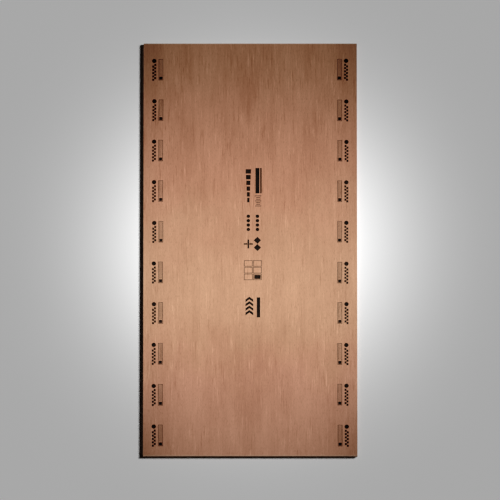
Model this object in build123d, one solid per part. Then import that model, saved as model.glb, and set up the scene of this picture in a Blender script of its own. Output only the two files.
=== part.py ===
from build123d import *

import os

# One sheet of hardwood plywood, lying on its back face: a single pressed panel, trimmed square.
# +Z is up, +Y runs along the face grain and +X across it.
# The origin is the middle of the underside.

# Driving dimensions, in millimetres
sheet_length = 2440.0  # along the face grain
sheet_width = 1220.0  # across the face grain
sheet_thickness = 19.0
corner_radius = 1.0  # handling blunts the four upright corners by this much
face_arris = 0.4  # sanding takes this much off the sharp edge all round each face


def trimmed_panel():
    """The pressed panel after the trimming saws: a slab with square sides."""
    outline = RectangleRounded(sheet_width, sheet_length, corner_radius)
    return extrude(outline, amount=sheet_thickness)


def ease_both_faces(panel):
    """The slab with its edge broken all round the top face and the underside."""
    faces_by_height = panel.faces().sort_by(Axis.Z)
    underside, top_face = faces_by_height[0], faces_by_height[-1]
    return chamfer(underside.edges() + top_face.edges(), length=face_arris)


def plywood_sheet():
    """The finished sheet."""
    return ease_both_faces(trimmed_panel())


os.makedirs("parts", exist_ok=True)
export_step(plywood_sheet(), "parts/plywood_sheet.step")
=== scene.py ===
import math
import random

import bmesh
import bpy
from mathutils import Matrix, Vector, noise


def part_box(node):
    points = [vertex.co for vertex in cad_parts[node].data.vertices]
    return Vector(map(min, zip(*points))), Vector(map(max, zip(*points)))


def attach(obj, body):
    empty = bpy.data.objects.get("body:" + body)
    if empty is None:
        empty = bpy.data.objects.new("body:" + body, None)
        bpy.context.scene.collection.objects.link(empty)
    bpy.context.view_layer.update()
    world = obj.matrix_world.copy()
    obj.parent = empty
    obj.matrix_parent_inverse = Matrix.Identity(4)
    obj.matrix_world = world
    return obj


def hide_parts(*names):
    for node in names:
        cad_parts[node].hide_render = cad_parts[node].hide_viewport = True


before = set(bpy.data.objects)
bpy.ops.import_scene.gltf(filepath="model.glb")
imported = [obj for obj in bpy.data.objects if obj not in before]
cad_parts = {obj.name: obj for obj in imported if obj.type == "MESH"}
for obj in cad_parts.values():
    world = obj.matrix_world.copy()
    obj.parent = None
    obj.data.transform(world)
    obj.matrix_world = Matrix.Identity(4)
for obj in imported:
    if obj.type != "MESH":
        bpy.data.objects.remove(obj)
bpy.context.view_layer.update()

# A plywood sheet lying on a pale floor, seen from above. Lengths are in metres.
# +Y runs along the face grain, +X across it and +Z up, as in the frame.

# The sheet, from the frame
sheet_low, sheet_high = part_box("plywood_sheet")
sheet_size = sheet_high - sheet_low
sheet_middle = (sheet_low + sheet_high) / 2

# Ink film: it stands on the face and tops out at the sheet's full thickness
ink_film = 0.0001
ink_sunk = 0.00005
face_height = sheet_high.z - ink_film

# Slab: blunted upright corners, and a broken edge round both faces
corner_radius = 0.001
corner_segments = 3
face_arris = 0.0004
arris_segments = 2

# Plies: two thin faces and thick core veneers between them, their grain crossing in turn
core_plies = 11
face_veneer_thickness = 0.0005
ply_recess = 0.00018
glue_width = 0.00012
glue_wander = 0.00014
glue_wander_length = 0.09
cut_spacing = 0.05

# Photograph's frame, in pixels: the image's side, the face's size, and how far its middle is off the image's
image_side_px = 500.0
face_width_px = 213.75
face_height_px = 412.3
face_right_px = 0.25
face_up_px = 0.97

# Noise: its middle and spans of usual values, its octaves, and the share of strength each octave keeps
noise_middle = 0.5
noise_span = (0.30, 0.70)
wide_noise_span = (0.25, 0.75)
few_octaves = 2.0
more_octaves = 3.0
even_octave_share = 0.50
crisp_octave_share = 0.60
coarse_octave_share = 0.65


# Node helpers

def feed(tree, socket, value):
    """Links a socket to the input, or sets the input's own value."""
    if isinstance(value, bpy.types.NodeSocket):
        tree.links.new(value, socket)
    else:
        socket.default_value = value


def add_node(tree, kind, inputs, **settings):
    """A new node with its settings and inputs."""
    node = tree.nodes.new(kind)
    for name, value in settings.items():
        setattr(node, name, value)
    for name, value in inputs.items():
        feed(tree, node.inputs[name], value)
    return node


def add_group(tree, group, inputs):
    """A node group placed in a material."""
    return add_node(tree, "ShaderNodeGroup", inputs, node_tree=group)


def split_vector(tree, vector):
    """A vector's x, y and z."""
    return add_node(tree, "ShaderNodeSeparateXYZ", {"Vector": vector}).outputs


def calculate(tree, operation, *values):
    """One step of arithmetic."""
    node = tree.nodes.new("ShaderNodeMath")
    node.operation = operation
    for socket, value in zip(node.inputs, values):
        feed(tree, socket, value)
    return node.outputs["Value"]


def spread(tree, value, from_low, from_high, to_low, to_high, smooth=False):
    """The value moved from one range to another and held inside it."""
    inputs = {
        "Value": value,
        "From Min": from_low,
        "From Max": from_high,
        "To Min": to_low,
        "To Max": to_high,
    }
    kind = "SMOOTHSTEP" if smooth else "LINEAR"
    return add_node(tree, "ShaderNodeMapRange", inputs, interpolation_type=kind).outputs["Result"]


def blend_colours(tree, share, first, second):
    """The first colour going over to the second as the share goes from 0 to 1."""
    node = tree.nodes.new("ShaderNodeMix")
    node.data_type = "RGBA"
    sockets = {socket.identifier: socket for socket in node.inputs}
    feed(tree, sockets["Factor_Float"], share)
    feed(tree, sockets["A_Color"], first)
    feed(tree, sockets["B_Color"], second)
    return next(s for s in node.outputs if s.identifier == "Result_Color")


def stretched_noise(tree, place, size, octaves, octave_share=even_octave_share):
    """Noise whose lumps have this size along x, y and z of the place."""
    coordinates = [calculate(tree, "DIVIDE", value, length) for value, length in zip(place, size)]
    vector = add_node(tree, "ShaderNodeCombineXYZ", dict(zip("XYZ", coordinates)))
    inputs = {
        "Vector": vector.outputs["Vector"],
        "Scale": 1.0,
        "Detail": octaves,
        "Roughness": octave_share,
    }
    return add_node(tree, "ShaderNodeTexNoise", inputs).outputs["Fac"]


def off_middle(tree, pattern):
    """How far a noise is above or below its middle."""
    return calculate(tree, "SUBTRACT", pattern, noise_middle)


def new_group(name, inputs, outputs):
    """An empty shader node group with named sockets, its input node and its output node."""
    tree = bpy.data.node_groups.new(name, "ShaderNodeTree")
    for direction, sockets in (("INPUT", inputs), ("OUTPUT", outputs)):
        for socket_name, kind in sockets.items():
            tree.interface.new_socket(socket_name, in_out=direction, socket_type=kind)
    return tree, tree.nodes.new("NodeGroupInput"), tree.nodes.new("NodeGroupOutput")


def new_material(name):
    """A material with only a Principled BSDF, its tree and its Object coordinates."""
    material = bpy.data.materials.new(name)
    material.use_nodes = True
    tree = material.node_tree
    shader = tree.nodes["Principled BSDF"]
    place = tree.nodes.new("ShaderNodeTexCoord").outputs["Object"]
    return material, tree, shader, place


def add_bump(tree, shader, height, strength, distance):
    """Lets a height pattern tilt the shader's normal."""
    inputs = {"Strength": strength, "Distance": distance, "Height": height}
    bump = add_node(tree, "ShaderNodeBump", inputs)
    tree.links.new(bump.outputs["Normal"], shader.inputs["Normal"])


# Face veneer: red-brown, fine straight grain, the figure mirrored about a join near the middle
veneer_join = -0.009
veneer_light = (0.760, 0.436, 0.292, 1.0)
veneer_dark = (0.490, 0.250, 0.160, 1.0)
veneer_roughness = (0.72, 0.54)
veneer_specular = 0.3
veneer_bump_strength = 0.35
veneer_bump_height = 0.0002
cut_depth = 0.004  # a new slice of the figure every so far down, so that the underside has its own

# Grain: each streak's size across the grain, along it and through it, and how much it changes the tone
grain_wander_size = (0.35, 1.3, cut_depth)
grain_wander = 0.012
mottle_size = (0.11, 0.26, cut_depth)
mottle_share = 0.50
broad_streak_size = (0.050, 0.80, cut_depth)
broad_streak_share = 0.45
narrow_streak_size = (0.014, 0.24, cut_depth)
narrow_streak_share = 0.30
line_size = (0.0062, 0.105, cut_depth)
line_share = 1.08
line_band = (0.08, 0.28)  # how far from its middle the noise starts to draw a line, and draws it fully
clump_size = (0.060, 0.22, cut_depth)
clump_band = (0.38, 0.64)
thin_lines_share = 0.35  # what is left of the lines between clumps

# Pores: short dark flecks along the grain
pore_brown = (0.180, 0.075, 0.035, 1.0)
pore_size = (0.0011, 0.016, cut_depth)
pore_band = (0.56, 0.70)
pore_cover_share = 0.45

# Flames: darker tongues of figure, their outline feathered along the grain
#   tip along the sheet, root along the sheet, distance from the join, half width at the root, depth of tone
flames = (
    (0.74, 1.25, 0.0, 0.14, 0.27),
    (0.90, 1.25, 0.342, 0.05, 0.18),
    (-1.10, -0.50, 0.0, 0.60, 0.17),
    (-1.35, -0.70, 0.0, 0.15, 0.13),
    (-0.48, -1.20, 0.48, 0.25, 0.11),
    (0.50, 0.08, 0.0, 0.55, 0.09),
)
flame_spine_share = 0.20  # of the half width, at full depth
flame_tip_share = 0.25  # of the length, until full depth
flame_tip_width = 0.0001
flame_root_fade = 0.20
feather_size = (0.013, 0.20, cut_depth)
feather_length = 0.32

# Hue zones: bands across the sheet where the veneer drifts to another brown, their borders uneven
#   middle along the sheet, full out to, gone by, light colour, dark colour
hue_zones = (
    (0.66, 0.05, 0.52, (0.765, 0.420, 0.284, 1.0), (0.490, 0.240, 0.155, 1.0)),
    (-0.27, 0.06, 0.70, (0.755, 0.468, 0.308, 1.0), (0.490, 0.276, 0.176, 1.0)),
    (-1.05, 0.15, 0.55, (0.765, 0.438, 0.307, 1.0), (0.490, 0.250, 0.168, 1.0)),
)
hue_border_size = (0.22, 0.30, cut_depth)
hue_border_sway = 0.55

# Liveliness: the figure is strongest at the far end of the sheet and calmer from the middle on
calm_place = 0.15
lively_place = 0.80
calm_share = 0.95
lively_share = 1.25


def flame_tone(tree, across, along, tip, root, distance, half_width, depth):
    """How much darker a flame makes the veneer: most along its spine, fading out behind its root."""
    grown = spread(tree, along, tip, root, 0.0, 1.0)
    reach = calculate(tree, "MULTIPLY_ADD", calculate(tree, "SQRT", grown), half_width, flame_tip_width)
    off_spine = calculate(tree, "ABSOLUTE", calculate(tree, "SUBTRACT", across, distance))
    outward = calculate(tree, "DIVIDE", off_spine, reach)
    inside = spread(tree, outward, flame_spine_share, 1.0, 1.0, 0.0, smooth=True)
    started = spread(tree, grown, 0.0, flame_tip_share, 0.0, depth)
    behind_root = root + math.copysign(flame_root_fade, root - tip)
    ended = spread(tree, along, root, behind_root, 1.0, 0.0, smooth=True)
    return calculate(tree, "MULTIPLY", inside, calculate(tree, "MULTIPLY", started, ended))


def sparse_lines(tree, streak):
    """Pale and dark lines where the noise is strong, with plain wood between them."""
    start, full = line_band
    pale = spread(tree, streak, noise_middle + start, noise_middle + full, 0.0, 1.0)
    dark = spread(tree, streak, noise_middle - start, noise_middle - full, 0.0, 1.0)
    return calculate(tree, "SUBTRACT", pale, dark)


def veneer_figure():
    """The veneer's colour, roughness and height at a place on the sheet."""
    tree, group_in, group_out = new_group(
        "veneer_figure",
        {"Place": "NodeSocketVector"},
        {"Colour": "NodeSocketColor", "Roughness": "NodeSocketFloat", "Height": "NodeSocketFloat"},
    )
    x, y, z = split_vector(tree, group_in.outputs["Place"])
    mirrored = calculate(tree, "ABSOLUTE", calculate(tree, "SUBTRACT", x, veneer_join))
    sway = stretched_noise(tree, (mirrored, y, z), grain_wander_size, few_octaves)
    wander = calculate(tree, "MULTIPLY_ADD", sway, 2.0 * grain_wander, -grain_wander)
    across = calculate(tree, "ADD", mirrored, wander)
    own_across = calculate(tree, "ADD", x, wander)

    mottle = stretched_noise(tree, (across, y, z), mottle_size, more_octaves)
    broad = stretched_noise(tree, (across, y, z), broad_streak_size, more_octaves)
    narrow = stretched_noise(tree, (across, y, z), narrow_streak_size, more_octaves, crisp_octave_share)
    fine = stretched_noise(tree, (own_across, y, z), line_size, more_octaves, crisp_octave_share)
    flecks = stretched_noise(tree, (own_across, y, z), pore_size, few_octaves)
    pores = spread(tree, flecks, *pore_band, 0.0, 1.0)

    clumps = stretched_noise(tree, (across, y, z), clump_size, few_octaves)
    lines_here = spread(tree, clumps, *clump_band, thin_lines_share * line_share, line_share)
    figure = calculate(tree, "MULTIPLY", sparse_lines(tree, fine), lines_here)
    streaks = ((mottle, mottle_share), (broad, broad_streak_share), (narrow, narrow_streak_share))
    for streak, share in streaks:
        figure = calculate(tree, "MULTIPLY_ADD", off_middle(tree, streak), share, figure)
    liveliness = spread(tree, y, calm_place, lively_place, calm_share, lively_share, smooth=True)
    tone = calculate(tree, "MULTIPLY_ADD", figure, liveliness, noise_middle)
    feather = off_middle(tree, stretched_noise(tree, (own_across, y, z), feather_size, more_octaves))
    feathered = calculate(tree, "MULTIPLY_ADD", feather, feather_length, y)
    for flame in flames:
        tone = calculate(tree, "SUBTRACT", tone, flame_tone(tree, across, feathered, *flame))

    border = off_middle(tree, stretched_noise(tree, (x, y, z), hue_border_size, more_octaves))
    drift = calculate(tree, "MULTIPLY_ADD", border, hue_border_sway, y)
    dark, light = veneer_dark, veneer_light
    for middle, full, gone, zone_light, zone_dark in hue_zones:
        away = calculate(tree, "ABSOLUTE", calculate(tree, "SUBTRACT", drift, middle))
        zone = spread(tree, away, full, gone, 1.0, 0.0, smooth=True)
        dark = blend_colours(tree, zone, dark, zone_dark)
        light = blend_colours(tree, zone, light, zone_light)
    wood = blend_colours(tree, tone, dark, light)
    pore_share = calculate(tree, "MULTIPLY", pores, pore_cover_share)
    feed(tree, group_out.inputs["Colour"], blend_colours(tree, pore_share, wood, pore_brown))
    feed(tree, group_out.inputs["Roughness"], spread(tree, fine, *wide_noise_span, *veneer_roughness))
    feed(tree, group_out.inputs["Height"], calculate(tree, "SUBTRACT", fine, pores))
    return tree


veneer_group = veneer_figure()

# Tear-out: pale tears where the saw left the veneer at both ends, and slivers lifted along both sides. Their
# paleness is also a painted highlight along the face's edges
# Pale wood of the tear-out, which also serves as a painted highlight round the rim
tearout_and_highlight_wood = (0.700, 0.465, 0.330, 1.0)
tear_size = (0.0018, 0.040, cut_depth)
tear_band = (0.32, 0.68)
tear_length = 0.0085
sliver_size = (0.015, 0.060, cut_depth)
sliver_band = (0.46, 0.72)
sliver_width = 0.0035
tearout_and_highlight_border = 0.0004
tearout_and_highlight_cover_share = 0.75


def inset_from_edge(tree, place, axis):
    """How far in from the sheet's nearer edge a place along an axis is."""
    from_middle = calculate(tree, "ABSOLUTE", calculate(tree, "SUBTRACT", place, sheet_middle[axis]))
    return calculate(tree, "SUBTRACT", sheet_size[axis] / 2, from_middle)


def tearout_and_highlight_in_from(tree, inset, pattern, band, reach):
    """The share of pale tear-out and painted highlight this far in from an edge: tears reach in as far as
    the pattern is strong.
    """
    depth = spread(tree, pattern, *band, 0.0, reach)
    whole = calculate(tree, "SUBTRACT", inset, depth)
    return spread(tree, whole, -tearout_and_highlight_border, tearout_and_highlight_border, tearout_and_highlight_cover_share, 0.0)


def tearout_and_highlight_rim(tree, place):
    """The share of pale tear-out and painted highlight along the sheet's rim."""
    across = inset_from_edge(tree, place["X"], 0)
    along = inset_from_edge(tree, place["Y"], 1)
    tears = stretched_noise(tree, place, tear_size, more_octaves, crisp_octave_share)
    slivers = stretched_noise(tree, place, sliver_size, more_octaves, crisp_octave_share)
    tearout_and_highlight_ends = tearout_and_highlight_in_from(tree, along, tears, tear_band, tear_length)
    tearout_and_highlight_sides = tearout_and_highlight_in_from(tree, across, slivers, sliver_band, sliver_width)
    return calculate(tree, "MAXIMUM", tearout_and_highlight_ends, tearout_and_highlight_sides)


def face_veneer_material():
    """Sanded face veneer, dry and matt, with pale tear-out along its rim that is also a painted highlight.
    """
    material, tree, shader, place = new_material("face_veneer")
    veneer = add_group(tree, veneer_group, {"Place": place})
    tearout_and_highlight = tearout_and_highlight_rim(tree, split_vector(tree, place))
    # Paints the pale rim: real tear-out and a painted highlight along the face's edges
    colour = blend_colours(tree, tearout_and_highlight, veneer.outputs["Colour"], tearout_and_highlight_wood)
    tree.links.new(colour, shader.inputs["Base Color"])
    tree.links.new(veneer.outputs["Roughness"], shader.inputs["Roughness"])
    height = calculate(tree, "SUBTRACT", veneer.outputs["Height"], tearout_and_highlight)
    add_bump(tree, shader, height, veneer_bump_strength, veneer_bump_height)
    shader.inputs["Specular IOR Level"].default_value = veneer_specular
    return material


# Sawn edges: plies a darker brown than the face, long grain a little paler than end grain
long_grain_light = (0.478, 0.330, 0.255, 1.0)
long_grain_dark = (0.304, 0.206, 0.157, 1.0)
long_grain_size = (0.06, 0.06, 0.0006)
long_grain_roughness = 0.75
end_grain_light = (0.295, 0.201, 0.152, 1.0)
end_grain_dark = (0.138, 0.091, 0.070, 1.0)
end_grain_size = (0.0012, 0.0012, 0.0007)
end_grain_roughness = 0.90
grain_roughness_drop = 0.20
sawn_bump_strength = 0.5
sawn_bump_height = 0.0003

# Tone of a sawn edge: the shares of its slow changes, its grain and its saw scratches
patch_size = (0.11, 0.11, 0.0016)
patch_tone_share = 0.60
grain_tone_share = 0.45
scratch_size = (0.0010, 1.0, 0.012)
scratch_slant = 0.20
scratch_tone_share = 0.15
sawn_tone_span = (0.35, 0.85)

# Glue: dark hard resin
glue_brown = (0.057, 0.039, 0.032, 1.0)
glue_roughness = (0.35, 0.60)


def sawn_edge():
    """A sawn edge's tone, grain and height: grain of a given size, slow changes and saw scratches."""
    tree, group_in, group_out = new_group(
        "sawn_edge",
        {"Place": "NodeSocketVector", "Grain Size": "NodeSocketVector"},
        {"Tone": "NodeSocketFloat", "Grain": "NodeSocketFloat", "Height": "NodeSocketFloat"},
    )
    place = split_vector(tree, group_in.outputs["Place"])
    grain_size = split_vector(tree, group_in.outputs["Grain Size"])
    x, y, z = place
    grain = stretched_noise(tree, place, grain_size, more_octaves, coarse_octave_share)
    patch = stretched_noise(tree, place, patch_size, few_octaves)
    along_edge = calculate(tree, "MULTIPLY_ADD", z, scratch_slant, calculate(tree, "ADD", x, y))
    scratches = stretched_noise(tree, (along_edge, 0.0, z), scratch_size, few_octaves, crisp_octave_share)
    tone = calculate(tree, "MULTIPLY", grain, grain_tone_share)
    tone = calculate(tree, "MULTIPLY_ADD", patch, patch_tone_share, tone)
    tone = calculate(tree, "MULTIPLY_ADD", scratches, scratch_tone_share, tone)
    feed(tree, group_out.inputs["Tone"], spread(tree, tone, *sawn_tone_span, 0.0, 1.0))
    feed(tree, group_out.inputs["Grain"], grain)
    feed(tree, group_out.inputs["Height"], calculate(tree, "ADD", grain, scratches))
    return tree


sawn_group = sawn_edge()


def sawn_ply_material(name, grain_size, dark, light, rough):
    """One set of plies on the sawn edges, with streaks or pores of its own size."""
    material, tree, shader, place = new_material(name)
    sawn = add_group(tree, sawn_group, {"Place": place, "Grain Size": grain_size})
    tree.links.new(blend_colours(tree, sawn.outputs["Tone"], dark, light), shader.inputs["Base Color"])
    roughness = spread(tree, sawn.outputs["Grain"], *noise_span, rough, rough - grain_roughness_drop)
    tree.links.new(roughness, shader.inputs["Roughness"])
    add_bump(tree, shader, sawn.outputs["Height"], sawn_bump_strength, sawn_bump_height)
    return material


def glue_material():
    """Dark hard resin between the plies, paler where it thins over the wood."""
    material, tree, shader, place = new_material("glue_line")
    lumps = stretched_noise(tree, split_vector(tree, place), patch_size, more_octaves)
    tree.links.new(blend_colours(tree, lumps, glue_brown, end_grain_light), shader.inputs["Base Color"])
    tree.links.new(spread(tree, lumps, *noise_span, *glue_roughness), shader.inputs["Roughness"])
    return material


# Stamped ink: near black, thin enough for the grain to show through where it wore
ink_black = (0.029, 0.023, 0.020, 1.0)
ink_speck_size = (0.0016, 0.006, cut_depth)
ink_patch_size = (0.020, 0.040, cut_depth)
ink_worn_band = (0.36, 0.52)
ink_cover_shares = (0.95, 1.00)
ink_roughness = (0.75, 0.50)
ink_specular = 0.2
ink_bump_strength = 0.25
ink_bump_height = 0.0002


def ink_material():
    """Stamped ink, its cover thinner where the stamp pressed less."""
    material, tree, shader, place = new_material("stamp_ink")
    veneer = add_group(tree, veneer_group, {"Place": place})
    split = split_vector(tree, place)
    specks = stretched_noise(tree, split, ink_speck_size, more_octaves, crisp_octave_share)
    patches = stretched_noise(tree, split, ink_patch_size, few_octaves)
    worn = calculate(tree, "DIVIDE", calculate(tree, "ADD", specks, patches), 2.0)
    cover = spread(tree, worn, *ink_worn_band, *ink_cover_shares)
    colour = blend_colours(tree, cover, veneer.outputs["Colour"], ink_black)
    tree.links.new(colour, shader.inputs["Base Color"])
    tree.links.new(spread(tree, worn, *noise_span, *ink_roughness), shader.inputs["Roughness"])
    add_bump(tree, shader, veneer.outputs["Height"], ink_bump_strength, ink_bump_height)
    shader.inputs["Specular IOR Level"].default_value = ink_specular
    return material


# Mesh helpers

def new_piece(name, bm, materials):
    """An object at the origin from a finished bmesh."""
    mesh = bpy.data.meshes.new(name)
    bm.to_mesh(mesh)
    bm.free()
    for material in materials:
        mesh.materials.append(material)
    piece = bpy.data.objects.new(name, mesh)
    bpy.context.scene.collection.objects.link(piece)
    return piece


def unit_vector(axis):
    """One step along an axis."""
    direction = Vector((0.0, 0.0, 0.0))
    direction[axis] = 1.0
    return direction


def cut_across(bm, place, direction):
    """Cuts every face along one plane and takes nothing away."""
    everything = bm.verts[:] + bm.edges[:] + bm.faces[:]
    bmesh.ops.bisect_plane(bm, geom=everything, plane_co=place, plane_no=direction)


# The sheet

face_slot, long_grain_slot, end_grain_slot, glue_slot = range(4)

core_ply_thickness = (face_height - sheet_low.z - 2 * face_veneer_thickness) / core_plies
glue_heights = [
    sheet_low.z + face_veneer_thickness + core_ply_thickness * line for line in range(core_plies + 1)
]
glue_catch_share = 0.25  # of a ply's thickness: a point this near a glue line is on it

# Normals: how far up an edge face may look, and how squarely a face on one side looks out
edge_tilt_limit = 0.2
square_look_limit = 0.9


def eased_slab():
    """The slab with its upright corners blunted and the edges of both faces broken."""
    bm = bmesh.new()
    bmesh.ops.create_cube(bm, size=1.0)
    slab_size = Vector((sheet_size.x, sheet_size.y, face_height - sheet_low.z))
    slab_middle = Vector((sheet_middle.x, sheet_middle.y, sheet_low.z + slab_size.z / 2))
    bmesh.ops.scale(bm, vec=slab_size, verts=bm.verts)
    bmesh.ops.translate(bm, vec=slab_middle, verts=bm.verts)
    settings = {"affect": "EDGES", "profile": 0.5, "material": -1}
    uprights = [e for e in bm.edges if abs(e.verts[0].co.z - e.verts[1].co.z) > slab_size.z / 2]
    bmesh.ops.bevel(bm, geom=uprights, offset=corner_radius, segments=corner_segments, **settings)
    rims = [e for e in bm.edges if abs(e.verts[0].co.z - e.verts[1].co.z) < slab_size.z / 2]
    bmesh.ops.bevel(bm, geom=rims, offset=face_arris, segments=arris_segments, **settings)
    return bm


def cut_into_plies(bm):
    """Cuts along the glue lines, and often enough along the edges for those lines to wander."""
    for axis in range(2):
        direction = unit_vector(axis)
        cuts = round(sheet_size[axis] / cut_spacing)
        for cut in range(1, cuts):
            cut_across(bm, sheet_low + direction * sheet_size[axis] * cut / cuts, direction)
    for height in glue_heights:
        cut_across(bm, (0.0, 0.0, height), (0.0, 0.0, 1.0))


def wander_glue_lines(bm):
    """Moves the glue lines gently up and down, each in its own way."""
    inner_lines = glue_heights[1:-1]
    for vert in bm.verts:
        for height in inner_lines:
            if abs(vert.co.z - height) < core_ply_thickness * glue_catch_share:
                place = Vector((vert.co.x, vert.co.y, 0.0)) / glue_wander_length
                place.z = height / core_ply_thickness
                vert.co.z += noise.noise(place) * glue_wander
                break


def ply_number(face):
    """Which ply an edge face belongs to, counted from the underside."""
    height = face.calc_center_median().z
    return sum(height > line for line in glue_heights)


def shows_end_grain(face):
    """Whether an edge face cuts across its ply's fibres: odd plies run across the sheet, even ones along."""
    on_long_side = abs(face.normal.x) > abs(face.normal.y)
    runs_across = ply_number(face) % 2 == 1
    return on_long_side == runs_across


# Core joints: gaps where two strips of a core ply meet, open where the edge cuts across its fibres
joint_spacings = (0.45, 0.95)
joint_widths = (0.0003, 0.0011)
joint_depth = 0.0020
joint_lip = 0.00004
joint_seed = 5


def cut_face(bm, face, place, axis, keep_above):
    """Cuts one face across an axis, and gives the piece above or below the cut."""
    direction = unit_vector(axis)
    parts = [face, *face.edges, *face.verts]
    result = bmesh.ops.bisect_plane(bm, geom=parts, plane_co=direction * place, plane_no=direction)
    pieces = [part for part in result["geom"] if isinstance(part, bmesh.types.BMFace)]
    return next(f for f in pieces if (f.calc_center_median()[axis] > place) == keep_above)


def open_joint(bm, faces, place, width, axis):
    """Sinks a narrow gap into whichever of the faces spans its whole width."""
    for face in faces:
        reach = [vert.co[axis] for vert in face.verts]
        if min(reach) < place - width and max(reach) > place + width:
            gap = cut_face(bm, face, place - width / 2, axis, True)
            gap = cut_face(bm, gap, place + width / 2, axis, False)
            walls = bmesh.ops.inset_individual(bm, faces=[gap], thickness=joint_lip, depth=-joint_depth)
            for part in [gap, *walls["faces"]]:
                part.material_index = glue_slot
            return


def open_core_joints(bm, end_grain):
    """Opens the joints of every core ply along the edges that show its end grain, each at its own places."""
    dice = random.Random(joint_seed)
    for axis in range(2):
        facing = 1 - axis
        for side in (-1, 1):
            side_faces = [f for f in end_grain if f.normal[facing] * side > square_look_limit]
            for ply in range(1, core_plies + 1):
                ply_faces = [f for f in side_faces if ply_number(f) == ply]
                place = sheet_low[axis] + dice.uniform(*joint_spacings)
                while ply_faces and place < sheet_high[axis] - cut_spacing:
                    open_joint(bm, ply_faces, place, dice.uniform(*joint_widths), axis)
                    place += dice.uniform(*joint_spacings)


def sheet_mesh():
    """The whole sheet as one closed skin, with its plies showing on the sawn edges."""
    bm = eased_slab()
    cut_into_plies(bm)
    wander_glue_lines(bm)
    bm.normal_update()
    edge_faces = [f for f in bm.faces if abs(f.normal.z) < edge_tilt_limit]
    end_grain = [f for f in edge_faces if shows_end_grain(f)]
    for face in edge_faces:
        face.material_index = long_grain_slot
    for face in end_grain:
        face.material_index = end_grain_slot
    rims = bmesh.ops.inset_region(
        bm, faces=end_grain, thickness=glue_width, depth=-ply_recess, use_boundary=True, use_even_offset=True
    )
    for face in rims["faces"]:
        face.material_index = glue_slot
    bm.normal_update()
    open_core_joints(bm, end_grain)
    return bm


# Bake map: columns of the map, from one share of its width to another
top_shares = (0.004, 0.560)
underside_shares = (0.568, 0.816)
edge_strip_share = 0.040
edge_gap_share = 0.005
first_edge_share = 0.824
map_margin_share = 0.004


def along_share(y):
    """A place along the sheet as a share of the map's height."""
    inner = 1.0 - 2 * map_margin_share
    return map_margin_share + inner * (y - sheet_low.y) / sheet_size.y


def lay_out_bake_map(bm):
    """Top face, underside and edges side by side on one square map, most of it for the top."""
    layer = bm.loops.layers.uv.new("OFBake")
    for face in bm.faces:
        if face.material_index == face_slot:
            low, high = top_shares if face.normal.z > 0 else underside_shares
            for loop in face.loops:
                x_share = (loop.vert.co.x - sheet_low.x) / sheet_size.x
                loop[layer].uv = (low + (high - low) * x_share, along_share(loop.vert.co.y))
            continue
        middle = face.calc_center_median() - sheet_middle
        on_long_side = sheet_size.x / 2 - abs(middle.x) < sheet_size.y / 2 - abs(middle.y)
        side = middle.x if on_long_side else middle.y
        strip = (0 if on_long_side else 2) + (side > 0)
        low = first_edge_share + strip * (edge_strip_share + edge_gap_share)
        for loop in face.loops:
            place = loop.vert.co
            run = place.y if on_long_side else place.x * sheet_size.y / sheet_size.x
            loop[layer].uv = (low + edge_strip_share * place.z / sheet_size.z, along_share(run))


def long_grain_material():
    """Plies that the edge cuts along their fibres."""
    return sawn_ply_material(
        "long_grain_ply", long_grain_size, long_grain_dark, long_grain_light, long_grain_roughness
    )


def end_grain_material():
    """Plies that the edge cuts across their fibres."""
    return sawn_ply_material(
        "end_grain_ply", end_grain_size, end_grain_dark, end_grain_light, end_grain_roughness
    )


def add_sheet():
    """The sheet in place of its frame node, with its materials in the order of the slots."""
    bm = sheet_mesh()
    bm.normal_update()
    lay_out_bake_map(bm)
    materials = [face_veneer_material(), long_grain_material(), end_grain_material(), glue_material()]
    return new_piece("sheet", bm, materials)


# Stamped marks: plain shapes only, drawn flat and then given the ink's thickness

unit_half = 0.5  # half the side of the square that each bar is scaled from


def flat_bar(bm, x, y, width, length):
    """A rectangle about a point."""
    verts = bmesh.ops.create_grid(bm, x_segments=1, y_segments=1, size=unit_half)["verts"]
    bmesh.ops.scale(bm, vec=(width, length, 1.0), verts=verts)
    bmesh.ops.translate(bm, vec=(x, y, 0.0), verts=verts)
    return verts


def flat_frame(bm, x, y, width, length, line):
    """A rectangle's outline of this line width."""
    face = flat_bar(bm, x, y, width, length)[0].link_faces[0]
    bmesh.ops.inset_individual(bm, faces=[face], thickness=line, use_even_offset=True)
    bmesh.ops.delete(bm, geom=[face], context="FACES")


def flat_disc(bm, x, y, radius, sides):
    """A filled circle, or with few sides a triangle or a diamond, its first corner up."""
    verts = bmesh.ops.create_circle(bm, cap_ends=True, radius=radius, segments=sides)["verts"]
    bmesh.ops.translate(bm, vec=(x, y, 0.0), verts=verts)


def flat_chevron(bm, x, y, width, line, rise):
    """A bent bar whose middle stands up by the rise."""
    verts = bmesh.ops.create_grid(bm, x_segments=2, y_segments=1, size=unit_half)["verts"]
    bmesh.ops.scale(bm, vec=(width, line, 1.0), verts=verts)
    middle = [v for v in verts if abs(v.co.x) < width / 4]
    bmesh.ops.translate(bm, vec=(0.0, rise, 0.0), verts=middle)
    bmesh.ops.translate(bm, vec=(x, y, 0.0), verts=verts)


def stamp(bm, draw, place):
    """Draws a mark's flat shapes and moves them to their place."""
    before = set(bm.verts)
    draw(bm)
    fresh = [v for v in bm.verts if v not in before]
    bmesh.ops.transform(bm, matrix=place, verts=fresh)


def ink_thickness(bm):
    """Turns flat shapes into thin closed slabs, sunk a little into the face."""
    bmesh.ops.translate(bm, vec=(0.0, 0.0, face_height - ink_sunk), verts=bm.verts)
    lifted = bmesh.ops.extrude_face_region(bm, geom=bm.faces[:])["geom"]
    verts = [part for part in lifted if isinstance(part, bmesh.types.BMVert)]
    bmesh.ops.translate(bm, vec=(0.0, 0.0, ink_film + ink_sunk), verts=verts)
    bmesh.ops.recalc_face_normals(bm, faces=bm.faces)


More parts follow.
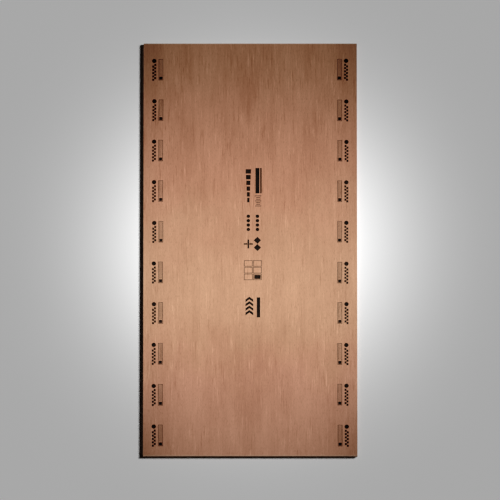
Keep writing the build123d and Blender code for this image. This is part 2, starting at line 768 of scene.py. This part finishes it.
# Margin marks: one drawing repeated down both long edges, mirrored from side to side
margin_mark_count = 10
margin_mark_pitch = 0.2405
margin_mark_first = 1.064
margin_mark_inset = 0.082
margin_jitter = 0.0012
margin_tilt = math.radians(0.5)
left_margin_seed = 3
right_margin_seed = 8
checker_rows = 10
checker_row_pitch = 0.0098
checker_columns = 2
checker_column_pitch = 0.0112
checker_cell_width = 0.0106
checker_cell_length = 0.0124
checker_middle = (-0.021, -0.0155)
disc_radius = 0.0125
disc_height = 0.0525
disc_sides = 28
panel_middle = 0.017
panel_width = 0.026
panel_length = 0.126
panel_line = 0.0024
panel_inset = 0.0042
panel_rules = 3
panel_rule_width = 0.0016
foot_length = 0.018


def checker_scale(bm):
    """A chequered scale with a dot over it."""
    checker_x, checker_y = checker_middle
    for row in range(checker_rows):
        for column in range(checker_columns):
            if (row + column) % 2 == 0:
                x = checker_x + checker_column_pitch * (column - (checker_columns - 1) / 2)
                y = checker_y + checker_row_pitch * (row - (checker_rows - 1) / 2)
                flat_bar(bm, x, y, checker_cell_width, checker_cell_length)
    flat_disc(bm, checker_x, disc_height, disc_radius, disc_sides)


def ruled_panel(bm):
    """A framed panel with rules along it and a solid foot."""
    flat_frame(bm, panel_middle, 0.0, panel_width, panel_length, panel_line)
    inner_length = panel_length - 2 * panel_inset
    foot_y = (foot_length - inner_length) / 2
    flat_bar(bm, panel_middle, foot_y, panel_width - 2 * panel_inset, foot_length)
    rule_length = inner_length - foot_length - panel_inset
    rule_y = (inner_length - rule_length) / 2
    for rule in range(panel_rules):
        x = panel_middle + panel_width * ((rule + 1) / (panel_rules + 1) - 1 / 2)
        flat_bar(bm, x, rule_y, panel_rule_width, rule_length)


def margin_mark(bm):
    """A chequered scale beside a ruled panel. The sheet's edge is on the left."""
    checker_scale(bm)
    ruled_panel(bm)


def add_margin_marks(name, side, material, seed):
    """The marks down one long edge: side is -1 on the left and 1 on the right."""
    dice = random.Random(seed)
    bm = bmesh.new()
    for number in range(margin_mark_count):
        x = side * (sheet_high.x - margin_mark_inset) + dice.uniform(-margin_jitter, margin_jitter)
        y = margin_mark_first - number * margin_mark_pitch + dice.uniform(-margin_jitter, margin_jitter)
        tilt = Matrix.Rotation(dice.uniform(-margin_tilt, margin_tilt), 4, "Z")
        mirror = Matrix.Diagonal((-side, 1.0, 1.0, 1.0))
        stamp(bm, margin_mark, Matrix.Translation((x, y, 0.0)) @ tilt @ mirror)
    ink_thickness(bm)
    return new_piece(name, bm, [material])


# Centre marks: a column of plain gauge marks down the middle of the face, in two files
centre_x = 0.015
left_file = -0.026
right_file = 0.026

wedge_steps = 6
wedge_pitch = 0.034
wedge_first = 0.085
wedge_width = 0.030
wedge_narrowing = 0.0035
wedge_bar_length = 0.026
gauge_middle = 0.030
gauge_length = 0.150
gauge_width = 0.022
gauge_line_width = 0.008
gauge_line_offset = 0.020
tick_count = 7
tick_first = -0.060
tick_pitch = 0.010
tick_width = 0.0034
tick_offset = 0.004
long_tick = 0.036
short_tick = 0.022
ticks_to_a_long_one = 3


def step_wedge(bm):
    """Heavy bars, each narrower than the one before, beside a long bar, a line and a run of ticks."""
    for step in range(wedge_steps):
        y = wedge_first - step * wedge_pitch
        flat_bar(bm, left_file, y, wedge_width - step * wedge_narrowing, wedge_bar_length)
    flat_bar(bm, right_file, gauge_middle, gauge_width, gauge_length)
    flat_bar(bm, right_file + gauge_line_offset, gauge_middle, gauge_line_width, gauge_length)
    for tick in range(tick_count):
        length = short_tick if tick % ticks_to_a_long_one else long_tick
        flat_bar(bm, right_file + tick_offset, tick_first - tick * tick_pitch, length, tick_width)


dots_in_a_row = 4
dot_pitch = 0.026
dot_radius = 0.0100
dot_sides = 24


def dot_rows(bm):
    """A row of dots in each file."""
    for x in (left_file, right_file):
        for dot in range(dots_in_a_row):
            flat_disc(bm, x, dot_pitch * (dot - (dots_in_a_row - 1) / 2), dot_radius, dot_sides)


cross_post = (0.009, 0.052)
cross_arm = (0.020, 0.008)
cross_arm_offset = 0.016
diamond_radius = 0.0205
diamond_offset = 0.0215
diamond_sides = 4


def cross_and_diamonds(bm):
    """A plain cross beside two diamonds."""
    flat_bar(bm, left_file, 0.0, *cross_post)
    for side in (-1, 1):
        flat_bar(bm, left_file + side * cross_arm_offset, 0.0, *cross_arm)
        flat_disc(bm, right_file, side * diamond_offset, diamond_radius, diamond_sides)


cell_rows = 3
cell_row_pitch = 0.040
cell_size = (0.048, 0.036)
cell_line = 0.0024
filled_cell_size = (0.036, 0.024)


def cell_panel(bm):
    """A ruled panel of six cells, the last of them filled."""
    for row in range(cell_rows):
        y = cell_row_pitch * ((cell_rows - 1) / 2 - row)
        for x in (left_file, right_file):
            flat_frame(bm, x, y, *cell_size, cell_line)
    flat_bar(bm, right_file, y, *filled_cell_size)


chevron_count = 4
chevron_pitch = 0.026
chevron_width = 0.044
chevron_line = 0.015
chevron_rise = 0.016
chevron_shift = 0.006
run_bar_size = (0.019, 0.118)


def chevron_run(bm):
    """Chevrons pointing along the grain, beside a long bar."""
    for number in range(chevron_count):
        y = chevron_pitch * (number - (chevron_count - 1) / 2)
        flat_chevron(bm, left_file + chevron_shift, y, chevron_width, chevron_line, chevron_rise)
    flat_bar(bm, right_file + chevron_shift, 0.0, *run_bar_size)


# Each drawing and its place along the sheet
centre_drawings = (
    (step_wedge, 0.375),
    (dot_rows, 0.155),
    (cross_and_diamonds, 0.030),
    (cell_panel, -0.125),
    (chevron_run, -0.345),
)


def add_centre_marks(material):
    """The column of marks in the middle of the face."""
    bm = bmesh.new()
    for draw, y in centre_drawings:
        stamp(bm, draw, Matrix.Translation((centre_x, y, 0.0)))
    ink_thickness(bm)
    return new_piece("centre_marks", bm, [material])


# The object

sheet = add_sheet()
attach(sheet, "root")
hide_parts("plywood_sheet")

stamp_ink = ink_material()
marks = [
    add_margin_marks("left_margin_marks", -1, stamp_ink, left_margin_seed),
    add_margin_marks("right_margin_marks", 1, stamp_ink, right_margin_seed),
    add_centre_marks(stamp_ink),
]
for piece in marks:
    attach(piece, "root")

# Floor

floor_half_width = 90.0
floor_segments = 8
floor_grey = (0.800, 0.800, 0.800, 1.0)
floor_grey_worn = (0.790, 0.790, 0.790, 1.0)
floor_patch_size = (0.5, 0.5, 0.5)
floor_roughness = 0.9
floor_specular = 0.1


def add_floor():
    """A plain pale floor under the sheet."""
    material, tree, shader, place = new_material("studio_floor")
    patches = stretched_noise(tree, split_vector(tree, place), floor_patch_size, few_octaves)
    tree.links.new(blend_colours(tree, patches, floor_grey, floor_grey_worn), shader.inputs["Base Color"])
    shader.inputs["Roughness"].default_value = floor_roughness
    shader.inputs["Specular IOR Level"].default_value = floor_specular
    bm = bmesh.new()
    bmesh.ops.create_grid(bm, x_segments=floor_segments, y_segments=floor_segments, size=floor_half_width)
    bmesh.ops.translate(bm, vec=(0.0, 0.0, sheet_low.z), verts=bm.verts)
    floor = new_piece("floor", bm, [material])
    return floor


floor = add_floor()

# Light: two lamps at one place, high on the right beyond the sheet, one for the sheet and one for the floor

lamp_place = Vector((7.90, 2.95, 7.0))
lamp_radius = 1.6

# Pools: an even base and a soft pool on the floor plane, and how strongly they dim at the sheet's corners
sheet_pool = {
    "base": 0.162,
    "peak": 0.738,
    "middle": (-0.09, -0.212),
    "reach": (2.4, 0.76),
    "corner_dimming": 0.57,
}
floor_pool = {
    "base": 0.509,
    "peak": 1.435,
    "middle": (0.022, 0.04),
    "reach": (0.495, 0.51),
    "corner_dimming": 0.0,
}
dimming_shift = (0.020, 0.035)
dimming_power = 4.0
side_dimming_share = 0.20  # of the corner dimming, half way along the long sides
fall_off_power = 3.0  # a lamp's light on a flat floor goes with this power of its rays' steepness

# Fill: a wide weak sun from the near left, for the edges that the lamps leave dark
fill_strength = 1.5
fill_angle = math.radians(40.0)
fill_heading = Vector((0.78, 0.58, -0.24))

# Room: white and almost dark
room_white = (1.0, 1.0, 1.0, 1.0)
room_strength = 0.010


def lit_only(lamp, objects):
    """Keeps a lamp's light to these objects."""
    receivers = bpy.data.collections.new(lamp.name + "_receivers")
    for lit in objects:
        receivers.objects.link(lit)
    lamp.light_linking.receiver_collection = receivers


def floor_point(tree):
    """Where a ray of the lamp meets the floor plane, and how steeply it falls."""
    geometry = tree.nodes.new("ShaderNodeNewGeometry")
    start = split_vector(tree, geometry.outputs["Position"])
    heading = split_vector(tree, geometry.outputs["Incoming"])
    run = calculate(tree, "DIVIDE", start["Z"], calculate(tree, "MULTIPLY", heading["Z"], -1.0))
    point = [calculate(tree, "MULTIPLY_ADD", heading[axis], run, start[axis]) for axis in "XY"]
    return point, calculate(tree, "ABSOLUTE", heading["Z"])


def pool_level(tree, point, base, peak, middle, reach):
    """The base level and the pool, which falls off as a bell curve."""
    squares = []
    for place, centre, length in zip(point, middle, reach):
        off = calculate(tree, "DIVIDE", calculate(tree, "SUBTRACT", place, centre), length)
        squares.append(calculate(tree, "MULTIPLY", off, off))
    pool = calculate(tree, "EXPONENT", calculate(tree, "MULTIPLY", calculate(tree, "ADD", *squares), -1 / 2))
    return calculate(tree, "MULTIPLY_ADD", pool, peak, base)


def kept_light(tree, point, corner_dimming):
    """The share of light that is left towards the sheet's long sides, and least at its corners."""
    loss = corner_dimming
    for place, shift, length, least in zip(point, dimming_shift, sheet_size, (0.0, side_dimming_share)):
        outward = calculate(tree, "DIVIDE", calculate(tree, "ADD", place, shift), length / 2)
        outward = calculate(tree, "POWER", calculate(tree, "ABSOLUTE", outward), dimming_power)
        loss = calculate(tree, "MULTIPLY", loss, calculate(tree, "ADD", outward, least))
    return calculate(tree, "EXPONENT", calculate(tree, "MULTIPLY", loss, -1.0))


def add_pool_lamp(name, objects, base, peak, middle, reach, corner_dimming):
    """A lamp for these objects alone. A level of 1 is as bright as a white room of strength 1."""
    data = bpy.data.lights.new(name, "POINT")
    data.shadow_soft_size = lamp_radius
    data.energy = (2 * math.pi * lamp_place.z) ** 2
    data.use_nodes = True
    tree = data.node_tree
    point, steepness = floor_point(tree)
    level = pool_level(tree, point, base, peak, middle, reach)
    wanted = calculate(tree, "MULTIPLY", level, kept_light(tree, point, corner_dimming))
    fall_off = calculate(tree, "POWER", steepness, fall_off_power)
    strength = calculate(tree, "DIVIDE", wanted, fall_off)
    tree.links.new(strength, tree.nodes["Emission"].inputs["Strength"])
    lamp = bpy.data.objects.new(name, data)
    lamp.location = lamp_place
    bpy.context.scene.collection.objects.link(lamp)
    lit_only(lamp, objects)


def add_fill(objects):
    """The fill, for these objects alone."""
    data = bpy.data.lights.new("edge_fill", "SUN")
    data.energy = fill_strength
    data.angle = fill_angle
    lamp = bpy.data.objects.new("edge_fill", data)
    lamp.rotation_mode = "QUATERNION"
    lamp.rotation_quaternion = fill_heading.to_track_quat("-Z", "Y")
    bpy.context.scene.collection.objects.link(lamp)
    lit_only(lamp, objects)


def set_room():
    """The room's own faint light."""
    world = bpy.data.worlds.new("studio")
    world.use_nodes = True
    background = world.node_tree.nodes["Background"]
    background.inputs["Color"].default_value = room_white
    background.inputs["Strength"].default_value = room_strength
    bpy.context.scene.world = world


object_pieces = [sheet, *marks]
add_pool_lamp("sheet_pool", object_pieces, **sheet_pool)
add_pool_lamp("floor_pool", [floor], **floor_pool)
add_fill(object_pieces)
set_room()

# Tone: a straight line from white down to the toe, where the dark tones close up softly to black
toe_end = 0.10
toe_steps = 8
combined_curve = 3  # the curves before it are red, green and blue


def set_tone():
    """Puts the tone curve on the picture, the same for all three colours."""
    view_settings = bpy.context.scene.view_settings
    view_settings.view_transform = "Standard"
    view_settings.use_curve_mapping = True
    points = view_settings.curve_mapping.curves[combined_curve].points
    line_slope = 1.0 / (1.0 - toe_end / 2)
    for step in range(1, toe_steps + 1):
        level = toe_end * step / toe_steps
        points.new(level, line_slope * level ** 2 / (2 * toe_end))
    for point in points:
        point.handle_type = "VECTOR"
    view_settings.curve_mapping.update()


set_tone()

# Camera: a long lens over the sheet, tipped until the face has the photograph's proportions

lens_mm = 1200.0
camera_tip = math.acos(face_height_px / face_width_px * sheet_size.x / sheet_size.y)


def add_camera():
    """Looks down on the middle of the face, from a little towards the near end."""
    data = bpy.data.cameras.new("camera")
    data.lens = lens_mm
    view_width = sheet_size.x * image_side_px / face_width_px
    distance = view_width * data.lens / data.sensor_width
    data.clip_end = 2 * distance
    camera = bpy.data.objects.new("camera", data)
    camera.rotation_euler = (camera_tip, 0.0, 0.0)
    back = Vector((0.0, -math.sin(camera_tip), math.cos(camera_tip)))
    aim = Vector((sheet_middle.x, sheet_middle.y, face_height))
    aim.x -= face_right_px * sheet_size.x / face_width_px
    aim.y -= face_up_px * sheet_size.y / face_height_px
    camera.location = aim + back * distance
    bpy.context.scene.collection.objects.link(camera)
    bpy.context.scene.camera = camera


add_camera()
